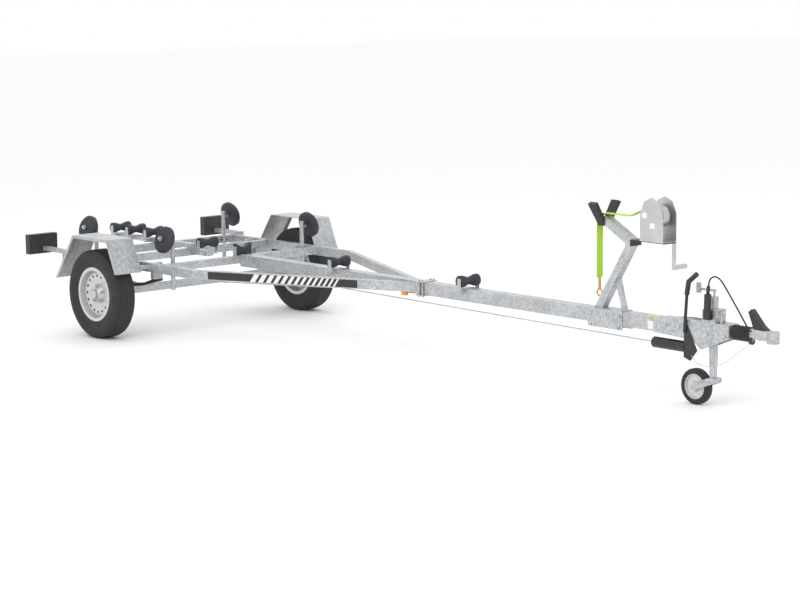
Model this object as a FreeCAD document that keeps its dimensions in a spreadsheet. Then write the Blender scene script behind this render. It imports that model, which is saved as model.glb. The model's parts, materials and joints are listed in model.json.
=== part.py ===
import FreeCAD, Part
import math
import os
import re
import Sketcher
from FreeCAD import Placement, Rotation, Vector

# Single-axle boat trailer. X points forward, Y to the left, Z up, in millimetres.
# The pieces are laid out on a level chassis whose axle centre is at x 0 and one
# wheel radius up. The whole trailer then leans onto its jockey wheel.

SIZES = {
    "nose_down": 0.865,
    "tyre_radius": 298, "tyre_width": 163, "rim_radius": 182, "rim_width": 130,
    "hub_radius": 55, "track": 1737, "stub_radius": 15, "running_gap": 0.05,
    "beam_half": 40, "beam_low": 445, "beam_high": 525, "beam_wall": 3, "beam_front": 4300,
    "rail_width": 40, "rail_low": 455, "rail_high": 515, "rail_wall": 3, "rail_outer": 690,
    "rail_rear": -578, "rail_bend": 780, "rail_tip": 2240,
    "cross_size": 50, "cross_front": 427, "cross_middle": -144, "cross_rear": -553,
    "axle_size": 50, "axle_half": 760, "backplate_radius": 115, "backplate_width": 12,
    "spring_centre": 600, "spring_width": 50, "spring_reach": 295, "spring_leaf": 18,
    "hanger_low": 400, "hanger_width": 34,
    "guard_inner": 752, "guard_outer": 956, "guard_top": 682, "guard_half": 205,
    "guard_rear": 424, "guard_rear_low": 371, "guard_front": 304, "guard_front_low": 460,
    "guard_sheet": 3, "guard_lip": 20,
    "lamp_inner": 645, "lamp_outer": 875, "lamp_low": 480, "lamp_high": 617,
    "lamp_rear": -920, "lamp_depth": 50, "arm_centre": 750, "arm_size": 30, "arm_low": 500,
    "post_radius": 15, "post_side": 555, "post_low": 330, "post_high": 700,
    "side_radius": 90, "side_width": 52, "side_out": 619, "side_up": 672, "side_cant": 18,
    "side_pin": 10, "side_bore": 10.05,
    "keel_radius": 37, "keel_waist": 24, "keel_length": 145, "keel_pin": 8, "cheek": 4,
    "cheek_gap": 2, "keel_one": 2666, "keel_two": 1445, "keel_three": 30,
    "keel_height": 568, "rear_height": 588, "spine_half": 30, "spine_high": 545,
    "spine_rear": -1060, "rear_one": -609, "rear_two": -833, "rear_three": -1020,
    "block_half": 65, "block_width": 36, "cradle_sheet": 4, "block_high": 600,
    "foot_sheet": 4, "winch_post_half": 25, "winch_post_foot": 3743,
    "clamp_rear": 3709, "clamp_front": 3950, "clamp_sheet": 5, "clamp_low": 420,
    "carrier_top": 944, "carrier_sheet": 6, "carrier_front": 4290, "carrier_half": 45,
    "winch_half": 57.5, "winch_sheet": 4, "winch_centre": 4200, "winch_axis": 1085,
    "drum_radius": 62, "winch_front": 4284, "winch_rear": 4116, "winch_high": 1192,
    "crank_place": 4254, "crank_height": 985, "crank_length": 190, "crank_shaft": 8,
    "bow_face": 3765, "bow_depth": 55, "bow_half": 110, "bow_high": 1140,
    "strap_half": 25, "strap_sheet": 3, "strap_drop": 3757, "strap_end": 700,
    "plate_sheet": 6, "housing_high": 541, "housing_front": 4752,
    "sleeve_place": 4610, "sleeve_radius": 24, "leg_radius": 21, "sleeve_low": 305,
    "sleeve_high": 660, "leg_low": 230, "leg_high": 600, "caster_trail": 117.3,
    "caster_radius": 100, "caster_width": 50, "caster_pin": 8, "fork_sheet": 6,
    "fork_half": 36, "nose_height": 500, "bellows_radius": 42, "bellows_front": 4877,
    "ball_place": 5020, "ball_radius": 25, "socket_radius": 34, "socket_low": 469,
    "socket_high": 534, "socket_depth": 40, "cable_radius": 4.5, "lanyard_radius": 2,
}

doc = FreeCAD.newDocument("boat_trailer")
sheet = doc.addObject("Spreadsheet::Sheet", "dims")
for row, (alias, number) in enumerate(SIZES.items(), start=1):
    sheet.set("A%d" % row, alias)
    sheet.set("B%d" % row, str(number))
    sheet.setAlias("B%d" % row, alias)
doc.recompute()

nodes = []


def bound(expression):
    """An expression with each size name pointed at its cell."""
    return re.sub(
        r"[a-z][a-z_]+",
        lambda found: "dims." + found.group() if found.group() in SIZES else found.group(),
        str(expression),
    )


def value(expression):
    return float(sheet.evalExpression(bound(expression)))


def point(place):
    return Vector(*[value(part) for part in place])


def bind(item, **sizes):
    for prop, expression in sizes.items():
        item.setExpression(prop.replace("__", ".Base."), bound(expression))


def box(low, high):
    """A block from its low corner to its high corner."""
    item = doc.addObject("Part::Box", "block")
    for prop, start, end in zip(("Length", "Width", "Height"), low, high):
        item.setExpression(prop, bound("(%s) - (%s)" % (end, start)))
    bind(item, Placement__x=low[0], Placement__y=low[1], Placement__z=low[2])
    return item


def rod(radius, start, end):
    """A round bar between two places."""
    item = doc.addObject("Part::Cylinder", "rod")
    item.setExpression("Radius", bound(radius))
    first, last = point(start), point(end)
    item.Height = (last - first).Length
    item.Placement = Placement(first, Rotation(Vector(0, 0, 1), last - first))
    return item


def tube(outer, inner, start, end):
    return cut(rod(outer, start, end), rod(inner, start, end))


def ring(radius, section, centre, axis):
    item = doc.addObject("Part::Torus", "ring")
    item.setExpression("Radius1", bound(radius))
    item.setExpression("Radius2", bound(section))
    item.Placement = Placement(point(centre), Rotation(Vector(0, 0, 1), Vector(*axis)))
    return item


def cut(base, tool):
    item = doc.addObject("Part::Cut", "cut")
    item.Base, item.Tool = base, tool
    return item


def join(*pieces):
    item = doc.addObject("Part::MultiFuse", "join")
    item.Shapes = list(pieces)
    return item


def outline(body, role, corners):
    """A closed straight-sided sketch on one of the body's own planes."""
    sketch = body.newObject("Sketcher::SketchObject", "outline")
    plane = [item for item in body.Origin.OriginFeatures if item.Role == role][0]
    sketch.AttachmentSupport = [(plane, "")]
    sketch.MapMode = "FlatFace"
    places = [Vector(value(first), value(second), 0) for first, second in corners]
    count = len(places)
    for index in range(count):
        line = Part.LineSegment(places[index], places[(index + 1) % count])
        sketch.addGeometry(line, False)
    for index in range(count):
        following = (index + 1) % count
        sketch.addConstraint(Sketcher.Constraint("Coincident", index, 2, following, 1))
    for index, corner in enumerate(corners):
        for kind, expression in zip(("DistanceX", "DistanceY"), corner):
            rule = Sketcher.Constraint(kind, -1, 1, index, 1, value(expression))
            number = sketch.addConstraint(rule)
            sketch.setExpression("Constraints[%d]" % number, bound(expression))
    return sketch


def prism(role, corners, low, high):
    """An outline on an origin plane, stretched from low to high across it."""
    body = doc.addObject("PartDesign::Body", "profile")
    sketch = outline(body, role, corners)
    start = "-(%s)" % high if role == "XZ_Plane" else low
    sketch.setExpression("AttachmentOffset.Base.z", bound(start))
    pad = body.newObject("PartDesign::Pad", "pad")
    pad.Profile = sketch
    pad.setExpression("Length", bound("(%s) - (%s)" % (high, low)))
    return body


def spin(corners, centre, turn=Rotation()):
    """A turned piece: radius and width pairs about a sideways axis."""
    body = doc.addObject("PartDesign::Body", "turned")
    sketch = outline(body, "XY_Plane", corners)
    turned = body.newObject("PartDesign::Revolution", "revolution")
    turned.Profile = sketch
    turned.ReferenceAxis = (sketch, ["V_Axis"])
    turned.Angle = 360
    body.Placement = Placement(point(centre), turn)
    return body


def node(label, *pieces):
    """A named sub-part: its pieces side by side in one file."""
    item = doc.addObject("Part::Compound", label)
    item.Links = list(pieces)
    item.Label = label
    nodes.append(item)
    return item


def cord_shape(radius, places):
    """A tube along straight runs joined by tangent arcs; prints its radii."""
    points = [Vector(*place) for place in places]
    edges, start, radii = [], points[0], []
    for before, corner, after in zip(points, points[1:], points[2:]):
        back, ahead = (before - corner), (after - corner)
        half_turn = (math.pi - back.getAngle(ahead)) / 2
        trim = 0.45 * min(back.Length, ahead.Length)
        radii.append(trim / math.tan(half_turn))
        first = corner + back * (trim / back.Length)
        last = corner + ahead * (trim / ahead.Length)
        bisector = ((first - corner) + (last - corner)).normalize()
        depth = radii[-1] / math.cos(half_turn) - radii[-1]
        middle = corner + bisector * depth
        edges.append(Part.LineSegment(start, first).toShape())
        edges.append(Part.Arc(first, middle, last).toShape())
        start = last
    edges.append(Part.LineSegment(start, points[-1]).toShape())
    path = Part.Wire(edges)
    section = Part.Wire(Part.Circle(points[0], points[1] - points[0], radius).toShape())
    shape = path.makePipeShell([section], True, True)
    expected = math.pi * radius ** 2 * path.Length
    print("cord radii", [round(item) for item in radii], "length", round(path.Length))
    print("cord volume share", round(shape.Volume / expected, 4))
    return shape


def cord(label, radius, places):
    item = doc.addObject("Part::Feature", label + "_tube")
    item.Shape = cord_shape(value(radius), places)
    return node(label, item)


def drawbar():
    ends = ("cross_front + cross_size/2", "beam_front")
    outside = box((ends[0], "-beam_half", "beam_low"), (ends[1], "beam_half", "beam_high"))
    inner = "beam_half - beam_wall"
    inside = box(
        (ends[0] + " - 1", "-(%s)" % inner, "beam_low + beam_wall"),
        (ends[1] + " + 1", inner, "beam_high - beam_wall"),
    )
    node("drawbar", cut(outside, inside))


def side_rail(label, side):
    """A bent box tube that runs straight, then in to the drawbar's side."""
    slope = "((rail_outer - beam_half)/(rail_tip - rail_bend))"
    skew = "sqrt(1 + %s^2)" % slope

    def edge(inset):
        """The corners of a line that lies inset from the outer face."""
        bend = "rail_bend - (%s)*(%s - 1)/%s" % (inset, skew, slope)
        tip = "rail_tip - (%s)*%s/%s" % (inset, skew, slope)
        level = "%d*(rail_outer - (%s))" % (side, inset)
        return bend, tip, level

    def band(outer, inner, rear, root, low, high):
        near, far = edge(outer), edge(inner)
        corners = [
            (rear, near[2]),
            (near[0], near[2]),
            (near[1], "%d*beam_half" % side),
            (far[1], "%d*beam_half" % side),
            (far[0], far[2]),
            (rear, far[2]),
        ]
        return prism("XY_Plane", corners, low, high)

    outside = band("0", "rail_width", "rail_rear", "0", "rail_low", "rail_high")
    inside = band(
        "rail_wall", "rail_width - rail_wall", "rail_rear - 1", "0",
        "rail_low + rail_wall", "rail_high - rail_wall",
    )
    pieces = [cut(outside, inside)]
    for end in (-1, 1):
        reach = sorted(("%d*spring_reach" % end, "%d*(spring_reach - hanger_width)" % end), key=value)
        width = sorted(
            ("%d*(spring_centre - spring_width/2)" % side, "%d*(rail_outer - rail_width)" % side),
            key=value,
        )
        pieces.append(box((reach[0], width[0], "hanger_low"), (reach[1], width[1], "rail_high - 5")))
    node(label, join(*pieces))


def cross_members():
    low, high = "rail_high - cross_size", "rail_high"
    half = "rail_outer - rail_width"
    pieces = []
    for place in ("cross_front", "cross_middle", "cross_rear"):
        near, far = place + " - cross_size/2", place + " + cross_size/2"
        pieces.append(box((near, "-(%s)" % half, low), (far, half, high)))
    node("cross_members", *pieces)


def axle():
    beam = box(
        ("-axle_size/2", "-axle_half", "tyre_radius - axle_size/2 + 2"),
        ("axle_size/2", "axle_half", "tyre_radius + axle_size/2 + 2"),
    )
    pieces = [beam]
    for side in (-1, 1):
        inner = ("0", "%d*(axle_half - 5)" % side, "tyre_radius")
        plate = ("0", "%d*(axle_half + backplate_width)" % side, "tyre_radius")
        end = ("0", "%d*(track/2 + 35)" % side, "tyre_radius")
        pieces.append(rod("stub_radius", inner, end))
        pieces.append(rod("backplate_radius", ("0", "%d*axle_half" % side, "tyre_radius"), plate))
    node("axle", join(*pieces))


def leaf_springs():
    seat = "tyre_radius + axle_size/2 + 2"
    pieces = []
    for side in (-1, 1):
        top = [("-spring_reach", "hanger_low"), ("-spring_reach + 34", "hanger_low")]
        top += [("-130", seat + " + spring_leaf + 14"), ("0", seat + " + spring_leaf")]
        top += [("130", seat + " + spring_leaf + 14"), ("spring_reach - 34", "hanger_low")]
        top += [("spring_reach", "hanger_low")]
        under = [("spring_reach", "hanger_low - spring_leaf*0.8")]
        under += [("130", seat + " + 14"), ("axle_size/2", seat), ("-axle_size/2", seat)]
        under += [("-130", seat + " + 14"), ("-spring_reach", "hanger_low - spring_leaf*0.8")]
        ends = sorted(
            ("%d*(spring_centre - spring_width/2)" % side, "%d*(spring_centre + spring_width/2)" % side),
            key=value,
        )
        pieces.append(prism("XZ_Plane", top + under, *ends))
    node("leaf_springs", *pieces)


def mudguard(label, side):
    """A folded sheet over the wheel, open at the sides, on two rail brackets."""
    outer = [("-guard_rear", "guard_rear_low"), ("-guard_half", "guard_top")]
    outer += [("guard_half", "guard_top"), ("guard_front", "guard_front_low")]
    inner = [("guard_front - guard_sheet*1.1", "guard_front_low")]
    inner += [("guard_half - guard_sheet*0.6", "guard_top - guard_sheet")]
    inner += [("-guard_half + guard_sheet*0.5", "guard_top - guard_sheet")]
    inner += [("-guard_rear + guard_sheet*1.2", "guard_rear_low")]
    ends = sorted(("%d*guard_inner" % side, "%d*guard_outer" % side), key=value)
    pieces = [prism("XZ_Plane", outer + inner, *ends)]
    lip = sorted(("%d*(guard_outer - guard_sheet)" % side, "%d*guard_outer" % side), key=value)
    skirt = [outer[0], outer[1], outer[2], outer[3]]
    skirt += [("guard_front - guard_lip", "guard_front_low")]
    skirt += [("guard_half - guard_lip*0.6", "guard_top - guard_lip")]
    skirt += [("-guard_half + guard_lip*0.5", "guard_top - guard_lip")]
    skirt += [("-guard_rear + guard_lip*1.2", "guard_rear_low")]
    pieces.append(prism("XZ_Plane", skirt, *lip))
    reach = sorted(("%d*rail_outer" % side, "%d*(guard_inner + 12)" % side), key=value)
    for near, far in (("-347", "-312"), ("262", "291")):
        pieces.append(box((near, reach[0], "475"), (far, reach[1], "500")))
    node(label, join(*pieces))


def lamps():
    arms, boards = [], []
    for side in (-1, 1):
        front = "rail_rear + 30"
        along = sorted(
            ("%d*(arm_centre - arm_size/2)" % side, "%d*(arm_centre + arm_size/2)" % side), key=value
        )
        arm = box(("lamp_rear + lamp_depth", along[0], "arm_low"), (front, along[1], "arm_low + arm_size"))
        across = sorted(("%d*rail_outer" % side, "%d*arm_centre" % side), key=value)
        stub = box(("rail_rear", across[0], "arm_low"), (front, across[1], "arm_low + arm_size"))
        arms.append(join(arm, stub))
        wide = sorted(("%d*lamp_inner" % side, "%d*lamp_outer" % side), key=value)
        boards.append(
            box(("lamp_rear", wide[0], "lamp_low"), ("lamp_rear + lamp_depth", wide[1], "lamp_high"))
        )
    node("light_arms", *arms)
    node("light_boards", *boards)


def side_roller_places():
    """Each side roller: its name, its place and the side it leans to."""
    front = "cross_front - cross_size/2 - post_radius"
    rear = "cross_rear + cross_size/2 + post_radius"
    return [
        ("front_roller_right", front, -1),
        ("front_roller_left", front, 1),
        ("rear_roller_right", rear, -1),
        ("rear_roller_left", rear, 1),
    ]


def side_rollers():
    posts = []
    for label, place, side in side_roller_places():
        centre = point((place, "%d*side_out" % side, "side_up"))
        lean = math.radians(value("side_cant"))
        axis = Vector(0, side * math.cos(lean), math.sin(lean))
        post = rod(
            "post_radius",
            (place, "%d*post_side" % side, "post_low"),
            (place, "%d*post_side" % side, "post_high"),
        )
        pin = rod("side_pin", tuple(centre - axis * 68), tuple(centre + axis * 34))
        cap = rod("side_pin + 6", tuple(centre + axis * 32), tuple(centre + axis * 40))
        posts.append(join(post, pin, cap))
        corners = [
            ("side_bore", "-side_width/2"),
            ("side_radius - 14", "-side_width/2"),
            ("side_radius", "-side_width/2 + 14"),
            ("side_radius", "side_width/2 - 14"),
            ("side_radius - 14", "side_width/2"),
            ("side_bore", "side_width/2"),
        ]
        centre = (place, "%d*side_out" % side, "side_up")
        node(label, spin(corners, centre, Rotation(Vector(1, 0, 0), side * value("side_cant"))))
    node("roller_posts", *posts)


def keel_roller_places():
    """Each keel roller: its name, place, height and half the width of its seat."""
    return [
        ("keel_roller_front", "keel_one", "keel_height", "beam_half", "beam_high - 30"),
        ("keel_roller_middle", "keel_two", "keel_height", "beam_half", "beam_high - 30"),
        ("keel_roller_rear", "keel_three", "keel_height", "spine_half", "beam_high - 40"),
        ("tail_roller_front", "rear_one", "rear_height", "spine_half", "spine_high - 25"),
        ("tail_roller_middle", "rear_two", "rear_height", "spine_half", "spine_high - 25"),
        ("tail_roller_rear", "rear_three", "rear_height", "spine_half", "spine_high - 25"),
    ]


def keel_rollers():
    half, bore = "keel_length/2", "keel_pin + running_gap"
    brackets = []
    for label, place, height, seat, low in keel_roller_places():
        corners = [
            (bore, "-" + half),
            ("keel_radius", "-" + half),
            ("keel_radius", "-%s + 22" % half),
            ("keel_waist", "-8"),
            ("keel_waist", "8"),
            ("keel_radius", "%s - 22" % half),
            ("keel_radius", half),
            (bore, half),
        ]
        node(label, spin(corners, (place, "0", height)))
        inner = "%s + cheek_gap" % half
        outer = "%s + cheek_gap + cheek" % half
        pieces = [rod("keel_pin", (place, "-(%s)" % outer, height), (place, outer, height))]
        near, far = place + " - 16", place + " + 16"
        for side in (-1, 1):
            wall = sorted(("%d*(%s)" % (side, inner), "%d*(%s)" % (side, outer)), key=value)
            arm = sorted(("%d*%s" % (side, seat), "%d*(%s)" % (side, outer)), key=value)
            pieces.append(box((near, wall[0], low), (far, wall[1], height + " + 18")))
            pieces.append(box((near, arm[0], low), (far, arm[1], low + " + 20")))
        brackets.append(join(*pieces))
    node("keel_brackets", *brackets)
    spine = box(
        ("spine_rear", "-spine_half", "rail_high"),
        ("cross_middle + cross_size/2", "spine_half", "spine_high"),
    )
    outrigger = box(
        ("cross_middle + cross_size/2", "-spine_half", "beam_high - 50"),
        ("keel_three + 25", "spine_half", "beam_high - 15"),
    )
    node("roller_beams", spine, outrigger)


def keel_block():
    near, far = "cross_front - block_width/2", "cross_front + block_width/2"
    base = box(
        (near, "-block_half - cradle_sheet", "rail_high"),
        (far, "block_half + cradle_sheet", "rail_high + cradle_sheet"),
    )
    pieces = [base]
    for side in (-1, 1):
        wall = sorted(("%d*block_half" % side, "%d*(block_half + cradle_sheet)" % side), key=value)
        pieces.append(box((near, wall[0], "rail_high"), (far, wall[1], "block_high - 20")))
    node("block_cradle", join(*pieces))
    corners = [
        ("-block_half", "rail_high + cradle_sheet"),
        ("block_half", "rail_high + cradle_sheet"),
        ("block_half", "block_high"),
        ("0", "block_high - 35"),
        ("-block_half", "block_high"),
    ]
    node("keel_block", prism("YZ_Plane", corners, near, far))


def wheel(name, side):
    """A road wheel: a steel rim and disc, and a tyre seated on the rim."""
    centre = ("0", "%d*track/2" % side, "tyre_radius")
    half = "rim_width/2"
    bore = "stub_radius + running_gap"
    rim = [
        (bore, "%d*(-30)" % side),
        ("hub_radius", "%d*(-30)" % side),
        ("hub_radius", "%d*14" % side),
        ("rim_radius - 40", "%d*24" % side),
        ("rim_radius - 22", "%d*14" % side),
        ("rim_radius - 22", "%d*(-%s)" % (side, half)),
        ("rim_radius", "%d*(-%s)" % (side, half)),
        ("rim_radius", "%d*(-%s + 8)" % (side, half)),
        ("rim_radius - 14", "%d*(-%s + 14)" % (side, half)),
        ("rim_radius - 14", "%d*(%s - 14)" % (side, half)),
        ("rim_radius", "%d*(%s - 8)" % (side, half)),
        ("rim_radius", "%d*%s" % (side, half)),
        ("rim_radius - 22", "%d*%s" % (side, half)),
        ("rim_radius - 22", "%d*24" % side),
        ("rim_radius - 44", "%d*36" % side),
        ("hub_radius", "%d*22" % side),
        ("hub_radius - 20", "%d*52" % side),
        (bore, "%d*52" % side),
    ]
    node("wheel_" + name, spin(rim, centre))
    wide = "tyre_width/2"
    profile = [("rim_radius - 14", "-%s + 14" % half), ("rim_radius", "-%s + 8" % half)]
    profile += [("rim_radius + 2", "-%s" % half), ("(tyre_radius + rim_radius)/2", "-" + wide)]
    profile += [("tyre_radius - 26", "-%s + 2" % wide), ("tyre_radius - 4", "-%s + 18" % wide)]
    profile += [("tyre_radius", "-%s + 40" % wide)]
    profile += [(size, "-(%s)" % place) for size, place in reversed(profile)]
    node("tyre_" + name, spin(profile, centre))


def winch_stand():
    half = "winch_post_half"
    foot = "beam_high + foot_sheet"
    upright = [
        ("winch_post_foot", foot),
        ("winch_post_foot + 58", foot),
        ("4030", "carrier_top - 39"),
        ("4030", "carrier_top"),
        ("bow_face + bow_depth", "1060"),
        ("bow_face + bow_depth", "1003"),
        ("3975", "915"),
        ("3972", "895"),
    ]
    strut = [("3943", foot), ("3970", foot), ("3914", "727"), ("3892", "690")]
    node(
        "winch_post",
        join(
            prism("XZ_Plane", upright, "-" + half, half),
            prism("XZ_Plane", strut, "-" + half + "/2", half + "/2"),
        ),
    )
    pieces = [
        box(("clamp_rear", "-beam_half", "beam_high"), ("clamp_front + 25", "beam_half", foot))
    ]
    for side in (-1, 1):
        wall = sorted(("%d*beam_half" % side, "%d*(beam_half + clamp_sheet)" % side), key=value)
        pieces.append(box(("clamp_rear", wall[0], "clamp_low"), ("clamp_front + 25", wall[1], foot)))
    for place in ("clamp_rear + 25", "clamp_front - 5"):
        bolt = "beam_half + clamp_sheet + 8"
        pieces.append(rod("6", (place, "-(%s)" % bolt, "clamp_low + 12"), (place, bolt, "clamp_low + 12")))
    node("winch_post_clamp", join(*pieces))
    carrier = [
        ("4030", "carrier_top - 39"),
        ("4030 + carrier_sheet", "carrier_top - 39"),
        ("4030 + carrier_sheet", "carrier_top - carrier_sheet"),
        ("carrier_front", "carrier_top - carrier_sheet"),
        ("carrier_front", "carrier_top"),
        ("4030", "carrier_top"),
    ]
    node("winch_carrier", prism("XZ_Plane", carrier, "-carrier_half", "carrier_half"))
    block = [
        ("-bow_half", "bow_high - 10"),
        ("-bow_half + 25", "bow_high"),
        ("-strap_half - 4", "1048"),
        ("strap_half + 4", "1048"),
        ("bow_half - 25", "bow_high"),
        ("bow_half", "bow_high - 10"),
        ("20", "1000"),
        ("-20", "1000"),
    ]
    node("bow_stop", prism("YZ_Plane", block, "bow_face", "bow_face + bow_depth"))


def winch():
    base = box(
        ("winch_rear", "-winch_half", "carrier_top"),
        ("winch_front", "winch_half", "carrier_top + winch_sheet"),
    )
    cheek = [
        ("winch_rear", "carrier_top"),
        ("winch_front", "carrier_top"),
        ("winch_front", "winch_high - 90"),
        ("winch_front - 30", "winch_high - 25"),
        ("winch_centre", "winch_high"),
        ("winch_rear + 30", "winch_high - 25"),
        ("winch_rear", "winch_high - 90"),
    ]
    centre = ("winch_centre", "winch_axis")
    pieces = [base]
    for side in (-1, 1):
        wall = sorted(("%d*winch_half" % side, "%d*(winch_half - winch_sheet)" % side), key=value)
        pieces.append(prism("XZ_Plane", cheek, *wall))
    spindle = "winch_half - 1"
    pieces.append(rod("12", (centre[0], "-(%s)" % spindle, centre[1]), (centre[0], spindle, centre[1])))
    pieces.append(
        rod("drum_radius", (centre[0], "-strap_half", centre[1]), (centre[0], "strap_half", centre[1]))
    )
    node("winch", join(*pieces))
    near, far = "winch_half + 0.3", "winch_half + 18"
    low = "crank_height - crank_length"
    shaft = rod("crank_shaft", ("crank_place", near, "crank_height"), ("crank_place", far, "crank_height"))
    arm = box(
        ("crank_place - 14", far + " - 6", low + " - 14"),
        ("crank_place + 14", far, "crank_height + 14"),
    )
    grip = rod("15", ("crank_place", far, low), ("crank_place", far + " + 95", low))
    boss = rod("16", ("crank_place", near, "crank_height"), ("crank_place", near + " + 12", "crank_height"))
    node("winch_crank", join(shaft, arm, grip, boss))


def winch_strap():
    """Webbing from the drum over the bow stop, hanging straight behind it."""
    upper = [("4175", "winch_axis + drum_radius - 0.5"), ("3997", "1072"), ("3800", "1074"), ("3768", "1064")]
    upper += [("strap_drop", "1040"), ("strap_drop", "strap_end")]
    under = [("strap_drop + strap_sheet", "strap_end"), ("strap_drop + strap_sheet", "1040")]
    under += [("3770", "1061"), ("3800", "1071"), ("3997", "1069")]
    under += [("4176", "winch_axis + drum_radius - 4.3")]
    node("winch_strap", prism("XZ_Plane", upper + under, "-strap_half", "strap_half"))
    shank = box(
        ("strap_drop - 4", "-7", "strap_end - 70"), ("strap_drop + 7", "7", "strap_end")
    )
    loop = ring("19", "5", ("strap_drop + 1.5", "0", "strap_end - 88"), (0, 1, 0))
    node("strap_hook", join(shank, loop))


def coupling():
    side_plate = [
        ("4214", "beam_low - 2"),
        ("4243", "beam_high"),
        ("4422", "housing_high"),
        ("housing_front", "housing_high"),
        ("housing_front", "463"),
        ("4557", "384"),
        ("4500", "430"),
    ]
    pieces = []
    for side in (-1, 1):
        wall = sorted(("%d*beam_half" % side, "%d*(beam_half + plate_sheet)" % side), key=value)
        pieces.append(prism("XZ_Plane", side_plate, *wall))
    pieces.append(box(("4250", "-beam_half", "beam_high"), ("4575", "beam_half", "beam_high + plate_sheet")))
    pieces.append(box(("4670", "-beam_half", "463"), ("housing_front", "beam_half", "housing_high")))
    node("coupling_housing", join(*pieces))
    folds = 6
    pitch = "(bellows_front - housing_front)/%d" % folds
    ribs = [("20", "0")]
    for fold in range(folds):
        ribs.append(("bellows_radius - 10", "%s*%d" % (pitch, fold)))
        ribs.append(("bellows_radius", "%s*%s" % (pitch, fold + 0.5)))
    ribs += [("bellows_radius - 10", "bellows_front - housing_front"), ("20", "bellows_front - housing_front")]
    turn = Rotation(Vector(0, 0, 1), -90)
    node("coupling_bellows", spin(ribs, ("housing_front", "0", "nose_height"), turn))
    shank = box(("bellows_front", "-26", "480"), ("ball_place", "26", "socket_high"))
    cap = rod("socket_radius", ("ball_place", "0", "socket_low"), ("ball_place", "0", "socket_high"))
    bore = rod(
        "ball_radius", ("ball_place", "0", "socket_low - 1"), ("ball_place", "0", "socket_low + socket_depth")
    )
    node("coupling_head", cut(join(shank, cap), bore))
    handle = [
        ("4900", "socket_high"), ("4990", "socket_high"), ("4955", "558"), ("4880", "640"), ("4862", "624"),
    ]
    node("coupling_handle", prism("XZ_Plane", handle, "-18", "18"))
    plate = [("4459", "515"), ("4535", "376"), ("4487", "314"), ("4440", "330"), ("4440", "430"), ("4440", "515")]
    face = "-(beam_half + plate_sheet)"
    quadrant = prism("XZ_Plane", plate, face + " - 6", face)
    stem = rod("9", ("4450", "-58", "470"), ("4465", "-58", "690"))
    grip = rod("14", ("4464", "-58", "680"), ("4478", "-58", "760"))
    knob = rod("14", ("4476", "-58", "752"), ("4535", "-58", "800"))
    node("handbrake_lever", join(quadrant, stem, grip, knob))
    node("brake_spring_cylinder", rod("31", ("4204", "-25", "383"), ("4440", "-25", "383")))


def jockey():
    place = "sleeve_place"
    body = box((place + " - 45", "-beam_half - 6", "housing_high"), (place + " + 45", "beam_half + 6", "611"))
    bore = rod("sleeve_radius + running_gap", (place, "0", "housing_high - 1"), (place, "0", "612"))
    lever = rod("8", (place + " + 39", "-beam_half - 5", "580"), (place + " + 78", "-beam_half - 30", "582"))
    node("jockey_clamp", join(cut(body, bore), lever))
    inner = "leg_radius + running_gap"
    node("jockey_sleeve", tube("sleeve_radius", inner, (place, "0", "sleeve_low"), (place, "0", "sleeve_high")))
    cap = rod("sleeve_radius + 2", (place, "0", "sleeve_high"), (place, "0", "sleeve_high + 18"))
    spindle = rod("7", (place, "0", "sleeve_high"), (place, "0", "sleeve_high + 60"))
    arm = rod("7", (place + " - 110", "0", "sleeve_high + 52"), (place + " + 10", "0", "sleeve_high + 52"))
    knob = rod("14", (place + " - 110", "0", "sleeve_high + 30"), (place + " - 110", "0", "sleeve_high + 85"))
    node("jockey_crank", join(cap, spindle, arm, knob))
    node("jockey_leg", rod("leg_radius", (place, "0", "leg_low"), (place, "0", "leg_high")))

    centre = place + " - caster_trail"
    lean = "sin(nose_down*1deg)"
    height = "tyre_radius + (caster_radius - tyre_radius + (%s)*%s)/cos(nose_down*1deg)" % (centre, lean)
    crown = "leg_low - 0.3"
    pieces = [box((place + " - 12", "-fork_half", crown + " - 26"), (place + " + 30", "fork_half", crown))]
    arm = [
        (place + " - 12", crown),
        (place + " + 30", crown),
        (place + " + 30", crown + " - 26"),
        (centre + " + 10", height + " - 16"),
        (centre + " - 14", height + " - 12"),
        (centre + " - 14", height + " + 14"),
    ]
    for side in (-1, 1):
        wall = sorted(("%d*fork_half" % side, "%d*(fork_half - fork_sheet)" % side), key=value)
        pieces.append(prism("XZ_Plane", arm, *wall))
    pieces.append(rod("caster_pin", (centre, "-fork_half", height), (centre, "fork_half", height)))
    node("jockey_fork", join(*pieces))
    half = "caster_width/2"
    rim = [
        ("caster_pin + running_gap", "-" + half), ("24", "-" + half), ("30", "-8"), ("caster_radius - 36", "-8"),
        ("caster_radius - 34", "-%s + 5" % half), ("caster_radius - 30", "-%s + 5" % half),
    ]
    rim += [(size, "-(%s)" % place_) for size, place_ in reversed(rim)]
    node("jockey_rim", spin(rim, (centre, "0", height)))
    band = [
        ("caster_radius - 30", "-%s + 5" % half), ("caster_radius - 22", "-" + half),
        ("caster_radius - 8", "-" + half), ("caster_radius", "-%s + 10" % half),
    ]
    band += [(size, "-(%s)" % place_) for size, place_ in reversed(band)]
    node("jockey_tyre", spin(band, (centre, "0", height)))


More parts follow.
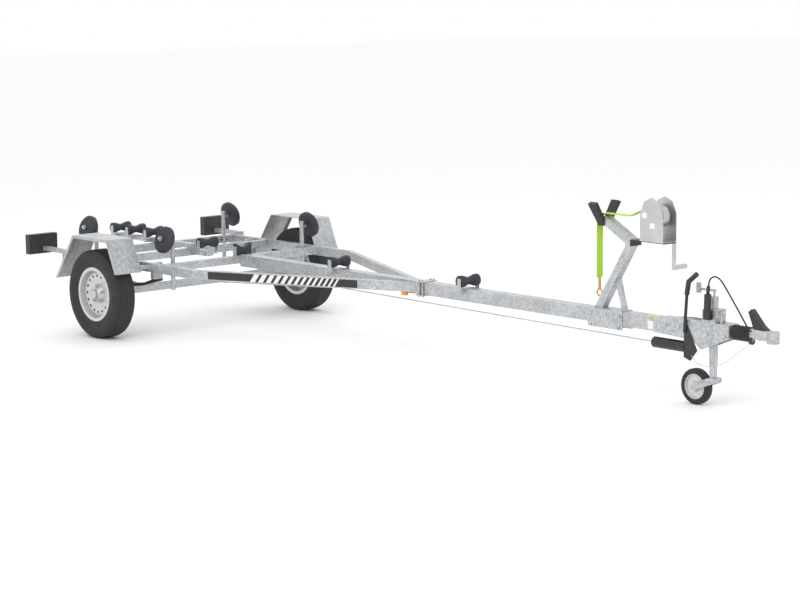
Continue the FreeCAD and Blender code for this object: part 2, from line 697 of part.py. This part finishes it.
def small_parts():
    pieces = [
        rod("4", ("axle_size/2", "-30", "tyre_radius"), ("1504", "-30", "406")),
        rod("4", ("1504", "-30", "406"), ("2847", "-30", "394")),
        rod("4", ("2847", "-30", "394"), ("4204", "-30", "384")),
    ]
    node("brake_rod", join(*pieces))
    markers = []
    for side in (-1, 1):
        wide = sorted(("%d*50" % side, "%d*72" % side), key=value)
        markers.append(box(("2135", wide[0], "rail_low - 24"), ("2175", wide[1], "rail_low")))
    node("side_markers", *markers)
    near, far = "rail_tip + 15", "rail_tip + 85"
    pieces = [
        box((near, "-62", "beam_high"), (far, "62", "beam_high + 6")),
        box((near, "-62", "beam_low - 6"), (far, "62", "beam_low")),
    ]
    for side in (-1, 1):
        for place in (near + " + 20", far + " - 20"):
            spot = (place, "%d*(beam_half + 8)" % side)
            pieces.append(rod("6", spot + ("beam_low - 14",), spot + ("beam_high + 14",)))
    node("apex_clamp", join(*pieces))
    plug = [
        box(("4600", "-beam_half - 40", "560"), ("4640", "-beam_half - 6", "611")),
        rod("20", ("4620", "-beam_half - 28", "611"), ("4622", "-beam_half - 28", "699")),
        rod("10", ("4622", "-beam_half - 28", "699"), ("4626", "-beam_half - 28", "745")),
    ]
    node("trailer_plug", join(*plug))


def cords():
    cord("trailer_cable", "cable_radius", [
        (4626, -68, 745), (4630, -68, 778), (4658, -66, 802), (4694, -64, 796),
        (4722, -60, 768), (4778, -54, 690), (4830, -48, 616), (4868, -42, 556), (4890, -31, 520),
    ])
    cord("breakaway_cable", "lanyard_radius", [
        (4500, -54, 346), (4532, -62, 318), (4574, -66, 304), (4628, -68, 300), (4682, -66, 310),
        (4734, -62, 332), (4784, -56, 366), (4826, -48, 402), (4870, -38, 440), (4910, -22, 479),
    ])


drawbar()
side_rail("side_rail_left", 1)
side_rail("side_rail_right", -1)
cross_members()
axle()
leaf_springs()
mudguard("mudguard_left", 1)
mudguard("mudguard_right", -1)
lamps()
side_rollers()
keel_rollers()
keel_block()
wheel("left", 1)
wheel("right", -1)
winch_stand()
winch()
winch_strap()
coupling()
jockey()
small_parts()
cords()
doc.recompute()

# The chassis leans about the axle centre, and the origin is then brought under
# the middle of the trailer, on the ground.
lean = Rotation(Vector(0, 1, 0), value("nose_down"))
pivot = point(("0", "0", "tyre_radius"))
parked = Placement(pivot - lean.multVec(pivot), lean)
for item in nodes:
    item.Placement = parked
doc.recompute()
CORDS = ("winch_strap", "strap_hook", "trailer_cable", "trailer_plug", "breakaway_cable")
bounds = FreeCAD.BoundBox()
for item in nodes:
    if item.Label not in CORDS:
        bounds.add(item.Shape.optimalBoundingBox(False))
shift = Vector(-(bounds.XMin + bounds.XMax) / 2, 0, 0)
for item in nodes:
    item.Placement = Placement(parked.Base + shift, lean)
doc.recompute()
print("bounds", bounds, "shift", shift.x)

for item in doc.Objects:
    if "Invalid" in item.State or "Error" in item.State:
        raise RuntimeError("%s failed: %s" % (item.Label, item.State))
for item in nodes:
    if item.Shape.isNull() or not item.Shape.isValid():
        raise RuntimeError("%s has no valid shape" % item.Label)

os.makedirs("parts", exist_ok=True)
for item in nodes:
    item.Shape.exportStep("parts/%s.step" % item.Label)
    print(item.Label, len(item.Shape.Solids), round(item.Shape.Volume / 1000))
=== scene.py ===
import json
import math

import bmesh
import bpy
from mathutils import Matrix, Vector


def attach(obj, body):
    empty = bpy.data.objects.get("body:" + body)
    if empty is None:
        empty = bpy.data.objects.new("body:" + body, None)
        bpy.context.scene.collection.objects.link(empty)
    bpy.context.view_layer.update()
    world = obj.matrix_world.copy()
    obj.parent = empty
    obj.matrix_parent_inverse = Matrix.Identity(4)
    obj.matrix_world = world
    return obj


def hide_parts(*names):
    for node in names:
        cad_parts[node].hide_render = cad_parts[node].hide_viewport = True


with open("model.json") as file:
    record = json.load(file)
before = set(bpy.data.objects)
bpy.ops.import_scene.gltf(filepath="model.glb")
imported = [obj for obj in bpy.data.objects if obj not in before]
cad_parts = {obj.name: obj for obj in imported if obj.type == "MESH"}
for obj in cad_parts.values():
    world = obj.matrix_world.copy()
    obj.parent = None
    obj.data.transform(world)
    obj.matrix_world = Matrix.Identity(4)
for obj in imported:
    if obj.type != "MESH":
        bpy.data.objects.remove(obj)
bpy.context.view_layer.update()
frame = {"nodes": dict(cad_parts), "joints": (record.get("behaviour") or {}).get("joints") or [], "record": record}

# The chassis leans onto its jockey wheel. Places below are in metres on the
# level chassis, with x 0 at the axle, and are leaned with the frame.
JOINTS = {joint["name"]: joint for joint in frame["joints"]}
AXLE = Vector(JOINTS["left_wheel_spin"]["pos_m"])
AXLE_X, AXLE_Z = AXLE.x, AXLE.z
UP = Vector(JOINTS["jockey_leg_slide"]["axis"])
LEAN = Matrix.Rotation(math.atan2(UP.x, UP.z), 4, "Y")
CHASSIS = (
    Matrix.Translation((AXLE_X, 0, AXLE_Z)) @ LEAN @ Matrix.Translation((0, 0, -AXLE_Z))
)
TRACK = 2 * AXLE.y


# ---------------------------------------------------------------- materials
def surface(name, dark, light, scale, metal=0.0, rough=(0.4, 0.6), bump=0.1, cells=False):
    """A material whose colour, roughness and relief come from noise or crystal cells."""
    material = bpy.data.materials.new(name)
    material.use_nodes = True
    nodes, links = material.node_tree.nodes, material.node_tree.links
    shader = nodes["Principled BSDF"]
    shader.inputs["Metallic"].default_value = metal
    place = nodes.new("ShaderNodeTexCoord")
    kind = "ShaderNodeTexVoronoi" if cells else "ShaderNodeTexNoise"
    pattern = nodes.new(kind)
    pattern.inputs["Scale"].default_value = scale
    links.new(place.outputs["Object"], pattern.inputs["Vector"])
    cloud = nodes.new("ShaderNodeTexNoise")
    cloud.inputs["Scale"].default_value = scale / 12
    cloud.inputs["Detail"].default_value = 6
    links.new(place.outputs["Object"], cloud.inputs["Vector"])
    blend = nodes.new("ShaderNodeMix")
    blend.inputs["Factor"].default_value = 0.5
    source = "Color" if cells else "Fac"
    links.new(pattern.outputs[source], blend.inputs["A"])
    links.new(cloud.outputs["Fac"], blend.inputs["B"])
    ramp = nodes.new("ShaderNodeValToRGB")
    ramp.color_ramp.elements[0].position = 0.3
    ramp.color_ramp.elements[1].position = 0.7
    ramp.color_ramp.elements[0].color = (*dark, 1)
    ramp.color_ramp.elements[1].color = (*light, 1)
    links.new(blend.outputs["Result"], ramp.inputs["Fac"])
    links.new(ramp.outputs["Color"], shader.inputs["Base Color"])
    polish = nodes.new("ShaderNodeMapRange")
    polish.inputs["To Min"].default_value = rough[0]
    polish.inputs["To Max"].default_value = rough[1]
    links.new(blend.outputs["Result"], polish.inputs["Value"])
    links.new(polish.outputs["Result"], shader.inputs["Roughness"])
    relief = nodes.new("ShaderNodeBump")
    relief.inputs["Strength"].default_value = bump
    relief.inputs["Distance"].default_value = 0.001
    links.new(blend.outputs["Result"], relief.inputs["Height"])
    links.new(relief.outputs["Normal"], shader.inputs["Normal"])
    return material


# Each finish: dark and light colour, pattern scale, metalness, roughness range, relief.
SURFACES = {
    "galvanised": surface(
        "galvanised", (0.36, 0.375, 0.39), (0.56, 0.575, 0.59), 90,
        metal=0.55, rough=(0.34, 0.5), bump=0.12, cells=True,
    ),
    "roller_rubber": surface(
        "roller_rubber", (0.012, 0.014, 0.02), (0.03, 0.033, 0.042), 300,
        metal=0, rough=(0.45, 0.6), bump=0.2,
    ),
    "tyre": surface(
        "tyre_rubber", (0.012, 0.012, 0.012), (0.028, 0.028, 0.028), 260,
        metal=0, rough=(0.6, 0.8), bump=0.25,
    ),
    "wheel_paint": surface(
        "wheel_paint", (0.52, 0.53, 0.54), (0.68, 0.69, 0.7), 400,
        metal=0.5, rough=(0.3, 0.42), bump=0.05,
    ),
    "black_paint": surface(
        "black_paint", (0.012, 0.012, 0.012), (0.03, 0.03, 0.03), 200,
        metal=0, rough=(0.3, 0.45), bump=0.1,
    ),
    "black_rubber": surface(
        "black_rubber", (0.012, 0.012, 0.012), (0.03, 0.03, 0.03), 240,
        metal=0, rough=(0.5, 0.7), bump=0.2,
    ),
    "black_plastic": surface(
        "black_plastic", (0.014, 0.014, 0.015), (0.03, 0.03, 0.032), 350,
        metal=0, rough=(0.35, 0.5), bump=0.15,
    ),
    "amber": surface(
        "amber", (0.6, 0.16, 0.01), (0.9, 0.3, 0.02), 300,
        metal=0, rough=(0.1, 0.2), bump=0.1,
    ),
    "webbing": surface(
        "webbing", (0.3, 0.55, 0.03), (0.48, 0.75, 0.06), 700,
        metal=0, rough=(0.7, 0.9), bump=0.5,
    ),
    "zinc_yellow": surface(
        "zinc_yellow", (0.4, 0.26, 0.08), (0.62, 0.42, 0.16), 120,
        metal=0.8, rough=(0.25, 0.4), bump=0.08,
    ),
    "bright_steel": surface(
        "bright_steel", (0.45, 0.46, 0.47), (0.62, 0.63, 0.64), 160,
        metal=0.8, rough=(0.25, 0.38), bump=0.06,
    ),
    "red_lens": surface(
        "red_lens", (0.25, 0.004, 0.004), (0.45, 0.01, 0.01), 300,
        metal=0, rough=(0.1, 0.2), bump=0.1,
    ),
    "pale_plastic": surface(
        "pale_plastic", (0.72, 0.72, 0.71), (0.85, 0.85, 0.84), 300,
        metal=0, rough=(0.4, 0.5), bump=0.05,
    ),
    "yellow_label": surface(
        "yellow_label", (0.75, 0.55, 0.03), (0.88, 0.68, 0.06), 300,
        metal=0, rough=(0.4, 0.5), bump=0.05,
    ),
}


# ------------------------------------------------------------ mesh helpers
def add(name, mesh_maker, material, body, bevel=0.0, leaned=True, smooth=30):
    """Makes a piece from a bmesh, rounds its edges and gives it to a body."""
    mesh = bpy.data.meshes.new(name)
    grid = bmesh.new()
    mesh_maker(grid)
    bmesh.ops.recalc_face_normals(grid, faces=grid.faces)
    grid.to_mesh(mesh)
    grid.free()
    if leaned:
        mesh.transform(CHASSIS)
    piece = bpy.data.objects.new(name, mesh)
    bpy.context.scene.collection.objects.link(piece)
    mesh.materials.append(SURFACES[material])
    mesh.shade_smooth()
    mesh.set_sharp_from_angle(angle=math.radians(smooth))
    if bevel:
        modifier = piece.modifiers.new("rounding", "BEVEL")
        modifier.width = bevel
        modifier.segments = 2
        modifier.limit_method = "ANGLE"
    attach(piece, body)
    return piece


def put_block(grid, low, high):
    """Adds a block between two corners."""
    middle = (Vector(low) + Vector(high)) / 2
    size = Vector(high) - Vector(low)
    place = Matrix.Translation(middle) @ Matrix.Diagonal((*size, 1))
    bmesh.ops.create_cube(grid, size=1, matrix=place)


def put_rod(grid, start, end, radius, sides=24, tip=None):
    """Adds a round bar, or a cone frustum, between two points."""
    start, end = Vector(start), Vector(end)
    turn = Vector((0, 0, 1)).rotation_difference(end - start).to_matrix().to_4x4()
    place = Matrix.Translation((start + end) / 2) @ turn
    bmesh.ops.create_cone(
        grid, cap_ends=True, segments=sides, radius1=radius,
        radius2=radius if tip is None else tip, depth=(end - start).length, matrix=place,
    )


# ------------------------------------------------------------------ wheels
def tread(name, body, side):
    """Raised tread blocks in five rings round the tyre."""
    def make(grid):
        radius, wide = AXLE_Z - 0.0012, 0.106
        rings, blocks = 5, 60
        for ring in range(rings):
            centre = side * TRACK / 2 + (ring - (rings - 1) / 2) * wide / rings
            for block in range(blocks):
                angle = 2 * math.pi * (block + 0.5 * (ring % 2)) / blocks
                spot = Matrix.Translation((AXLE_X, centre, AXLE_Z)) @ Matrix.Rotation(angle, 4, "Y")
                outward = Matrix.Translation((0, 0, radius))
                spot = spot @ outward @ Matrix.Rotation(0.25, 4, "Z")
                size = Matrix.Diagonal((0.024, wide / rings * 0.82, 0.0024, 1))
                bmesh.ops.create_cube(grid, size=1, matrix=spot @ size)
    return add(name, make, "tyre", body, leaned=False)


def wheel_face(name, body, side):
    """Vents, wheel nuts and hub cap on the outer face of a road wheel."""
    face = side * (TRACK / 2 + 0.034)

    def at(radius, angle, out=0.0):
        x = AXLE_X + radius * math.cos(angle)
        z = AXLE_Z + radius * math.sin(angle)
        return (x, face + side * out, z)

    def vents(grid):
        count = 16
        for index in range(count):
            angle = 2 * math.pi * index / count
            put_rod(grid, at(0.124, angle, -0.012), at(0.124, angle, 0.0006), 0.0095, 20)

    def nuts(grid):
        for index in range(5):
            angle = 2 * math.pi * (index + 0.25) / 5
            put_rod(grid, at(0.056, angle, -0.012), at(0.056, angle, 0.012), 0.0105, 6)
            put_rod(grid, at(0.056, angle, 0.012), at(0.056, angle, 0.02), 0.007, 16, 0.005)

    def cap(grid):
        put_rod(grid, at(0, 0, 0.01), at(0, 0, 0.036), 0.033, 40, 0.031)
        put_rod(grid, at(0, 0, 0.036), at(0, 0, 0.042), 0.031, 40, 0.022)

    add(name + "_vents", vents, "black_paint", body, leaned=False)
    add(name + "_nuts", nuts, "bright_steel", body, leaned=False)
    add(name + "_hub_cap", cap, "bright_steel", body, 0.001, leaned=False)


for side, word in ((1, "left"), (-1, "right")):
    tread("tread_" + word, word + "_wheel", side)
    wheel_face("wheel_" + word, word + "_wheel", side)


# ------------------------------------------------------------------- decal
RAIL_TIP, RAIL_BEND, RAIL_OUTER, BEAM_HALF = 2.24, 0.78, 0.69, 0.04


def decal(side, word):
    """A black band on the sloped rail with white slanted stripes that thin out."""
    slope = (RAIL_OUTER - BEAM_HALF) / (RAIL_TIP - RAIL_BEND)
    rear, front, low, high, slant = 0.888, 1.868, 0.46, 0.51, 0.03

    def on_rail(x, z, lift):
        return (x + lift * 0.4, side * (RAIL_OUTER - slope * (x - RAIL_BEND) + lift), z)

    def quad(grid, corners, lift):
        grid.faces.new([grid.verts.new(on_rail(x, z, lift)) for x, z in corners])

    def band(grid):
        quad(grid, [(rear, low), (front, low), (front, high), (rear, high)], 0.0006)

    def stripes(grid):
        x, wide, gap = 1.17, 0.034, 0.02
        for _ in range(14):
            ahead = x + wide
            corners = [(x, low), (ahead, low), (ahead + slant, high), (x + slant, high)]
            quad(grid, corners, 0.0011)
            x += wide + gap
            wide *= 0.92
    add("decal_band_" + word, band, "black_plastic", "chassis")
    add("decal_stripes_" + word, stripes, "pale_plastic", "chassis")


for side, word in ((1, "left"), (-1, "right")):
    decal(side, word)


# ------------------------------------------------------- lamps and labels
def lamps():
    """Red and amber lenses on the light boards, and an amber reflector by each rail."""
    def red(grid):
        for side in (-1, 1):
            put_block(grid, (-0.924, side * 0.76 - 0.05, 0.5), (-0.919, side * 0.76 + 0.05, 0.6))

    def orange(grid):
        for side in (-1, 1):
            put_block(grid, (-0.924, side * 0.845 - 0.024, 0.5), (-0.919, side * 0.845 + 0.024, 0.6))
            put_block(grid, (-0.62, side * 0.766 - 0.003, 0.44), (-0.56, side * 0.766 + 0.003, 0.5))

    add("tail_lenses", red, "red_lens", "chassis", 0.002)
    add("amber_lenses", orange, "amber", "chassis", 0.001)


def labels():
    """Blank stickers on the drawbar, the winch and the strap."""
    def white(grid):
        put_block(grid, (4.165, -0.0408, 0.455), (4.205, -0.0399, 0.5))
        put_block(grid, (4.19, -0.0585, 1.02), (4.225, -0.0574, 1.05))
        put_block(grid, (3.7555, -0.022, 0.715), (3.7565, 0.022, 0.77))
        put_rod(grid, (4.15, -0.0574, 1.09), (4.15, -0.0585, 1.09), 0.018, 32)

    def yellow(grid):
        put_block(grid, (4.15, -0.028, 0.5249), (4.21, 0.028, 0.5258))

    add("blank_labels", white, "pale_plastic", "chassis")
    add("yellow_strip", yellow, "yellow_label", "chassis")


def fasteners():
    """Bolt heads on the clamps, the coupling and the cross members."""
    spots = [(4.3, 0.0465, 0.49), (4.4, 0.0465, 0.49), (4.599, 0.0465, 0.474), (4.725, 0.0465, 0.476)]
    spots += [(3.735, 0.0455, 0.5), (3.85, 0.0455, 0.5), (3.95, 0.0455, 0.5)]

    def heads(grid):
        for x, y, z in spots:
            for side in (-1, 1):
                put_rod(grid, (x, side * (y - 0.001), z), (x, side * (y + 0.008), z), 0.0095, 6)
        for x in (0.427, -0.144, -0.553):
            for side in (-1, 1):
                for along in (-0.009, 0.009):
                    y = side * 0.67 + along
                    put_rod(grid, (x, y, 0.514), (x, y, 0.519), 0.006, 6)
        for x in (0.387, -0.513):
            for side in (-1, 1):
                centre = Vector((x, side * 0.619, 0.672))
                axis = Vector((0, side * math.cos(math.radians(18)), math.sin(math.radians(18))))
                put_rod(grid, centre + axis * 0.04, centre + axis * 0.05, 0.012, 6)

    def u_bolts(grid):
        for x in (0.387, -0.513):
            for side in (-1, 1):
                y = side * 0.555
                put_block(grid, (x - 0.02, y - 0.024, 0.475), (x - 0.0152, y + 0.024, 0.505))
                put_rod(grid, (x - 0.028, y - 0.018, 0.49), (x + 0.015, y - 0.018, 0.49), 0.004, 12)
                put_rod(grid, (x - 0.028, y + 0.018, 0.49), (x + 0.015, y + 0.018, 0.49), 0.004, 12)

    add("bolt_heads", heads, "bright_steel", "chassis")
    add("post_u_bolts", u_bolts, "black_paint", "chassis")


def small_controls():
    """The coupling's indicator, the wing knob and the brake fitting."""
    def knob(grid):
        put_rod(grid, (4.688, -0.03, 0.541), (4.688, -0.03, 0.6), 0.007, 16)
        put_rod(grid, (4.67, -0.03, 0.6), (4.706, -0.03, 0.604), 0.009, 16)

    def fitting(grid):
        put_rod(grid, (4.882, -0.02, 0.47), (4.9, -0.02, 0.47), 0.02, 24)

    add("wing_knob", knob, "bright_steel", "chassis", 0.001)
    add("bellows_clip", fitting, "black_plastic", "chassis", 0.001)


lamps()
labels()
fasteners()
small_controls()


# -------------------------------------------------------------------- cords
def cord_curve(name, points, radius, material):
    curve = bpy.data.curves.new(name, "CURVE")
    curve.dimensions = "3D"
    curve.bevel_depth = radius
    curve.bevel_resolution = 4
    spline = curve.splines.new("NURBS")
    spline.points.add(len(points) - 1)
    for item, place in zip(spline.points, points):
        item.co = (*(CHASSIS @ Vector(place)), 1)
    spline.order_u = 3
    spline.use_endpoint_u = True
    spline.resolution_u = 8
    piece = bpy.data.objects.new(name, curve)
    bpy.context.scene.collection.objects.link(piece)
    curve.materials.append(SURFACES[material])
    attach(piece, "chassis")
    return piece


CABLE = [
    (4.626, -0.068, 0.745), (4.630, -0.068, 0.778), (4.658, -0.066, 0.802), (4.694, -0.064, 0.796),
    (4.722, -0.060, 0.768), (4.778, -0.054, 0.690), (4.830, -0.048, 0.616), (4.868, -0.042, 0.556),
    (4.890, -0.031, 0.520),
]
LANYARD = [
    (4.500, -0.054, 0.346), (4.532, -0.062, 0.318), (4.574, -0.066, 0.304), (4.628, -0.068, 0.300),
    (4.682, -0.066, 0.310), (4.734, -0.062, 0.332), (4.784, -0.056, 0.366), (4.826, -0.048, 0.402),
    (4.870, -0.038, 0.440), (4.910, -0.022, 0.479),
]
cable = cord_curve("lead", CABLE, 0.0045, "black_rubber")
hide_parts("trailer_cable")
lanyard = cord_curve("lanyard", LANYARD, 0.002, "bright_steel")
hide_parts("breakaway_cable")

# ---------------------------------------------------- finishes of CAD nodes
SLOTS = {item["node"]: item["material_slot"] for item in frame["record"]["subparts"]}
for name, item in frame["nodes"].items():
    if not item.material_slots:
        item.data.materials.append(None)
    for slot in item.material_slots:
        slot.link = "OBJECT"
        slot.material = SURFACES[SLOTS[name]]


# -------------------------------------------------------------------- stage
def pale(name, strength):
    """A pale matt surface that keeps the trailer's soft shadow."""
    material = bpy.data.materials.new(name)
    material.use_nodes = True
    shader = material.node_tree.nodes["Principled BSDF"]
    shader.inputs["Base Color"].default_value = (strength, strength, strength, 1)
    shader.inputs["Roughness"].default_value = 0.9
    return material


FLOOR_HALF, FLOOR_DROP = 60, -0.0005
floor_mesh = bpy.data.meshes.new("floor")
floor_corners = [
    (x * FLOOR_HALF, y * FLOOR_HALF, FLOOR_DROP) for x, y in ((-1, -1), (1, -1), (1, 1), (-1, 1))
]
floor_mesh.from_pydata(floor_corners, [], [(0, 1, 2, 3)])
floor = bpy.data.objects.new("floor", floor_mesh)
bpy.context.scene.collection.objects.link(floor)
floor_mesh.materials.append(pale("floor_white", 0.97))

world = bpy.data.worlds.new("studio")
bpy.context.scene.world = world
world.use_nodes = True
tree = world.node_tree
lit = tree.nodes["Background"]
lit.inputs["Color"].default_value = (1, 1, 1, 1)
lit.inputs["Strength"].default_value = 1.0
seen = tree.nodes.new("ShaderNodeBackground")
seen.inputs["Strength"].default_value = 1
seen.inputs["Color"].default_value = (1, 1, 1, 1)
path = tree.nodes.new("ShaderNodeLightPath")
mixed = tree.nodes.new("ShaderNodeMixShader")
tree.links.new(path.outputs["Is Camera Ray"], mixed.inputs["Fac"])
tree.links.new(lit.outputs["Background"], mixed.inputs[1])
tree.links.new(seen.outputs["Background"], mixed.inputs[2])
tree.links.new(mixed.outputs["Shader"], tree.nodes["World Output"].inputs["Surface"])


def lamp(name, place, size, power):
    light = bpy.data.lights.new(name, "AREA")
    light.size = size
    light.energy = power
    item = bpy.data.objects.new(name, light)
    item.location = place
    item.rotation_euler = (Vector((0, 0, 0.4)) - Vector(place)).to_track_quat("-Z", "Y").to_euler()
    bpy.context.scene.collection.objects.link(item)


lamp("key_light", (3, -5, 6), 5, 150)
lamp("fill_light", (-5, 3, 6), 6, 80)


# ------------------------------------------------------------------- camera
EYE_FROM_AXLE = Vector((12.487, -9.258, 2.319))
YAW, PITCH, ROLL = 48.45, 8.03, -1.049
LENS = 100.68


def place_camera():
    """The eye stands ahead of the trailer on its right, a little above it."""
    yaw, pitch, roll = math.radians(YAW), math.radians(PITCH), math.radians(ROLL)
    level = math.cos(pitch)
    back = Vector((math.sin(yaw) * level, -math.cos(yaw) * level, math.sin(pitch)))
    right = (-back).cross(Vector((0, 0, 1))).normalized()
    above = back.cross(right)
    turned_right = right * math.cos(roll) + above * math.sin(roll)
    turned_up = above * math.cos(roll) - right * math.sin(roll)
    turn = Matrix((turned_right, turned_up, back)).transposed().to_4x4()
    view = bpy.data.cameras.new("camera")
    view.lens = LENS
    item = bpy.data.objects.new("camera", view)
    item.matrix_world = Matrix.Translation(EYE_FROM_AXLE + Vector((AXLE_X, 0, 0))) @ turn
    bpy.context.scene.collection.objects.link(item)
    bpy.context.scene.camera = item


place_camera()
bpy.context.scene.view_settings.view_transform = "Standard"
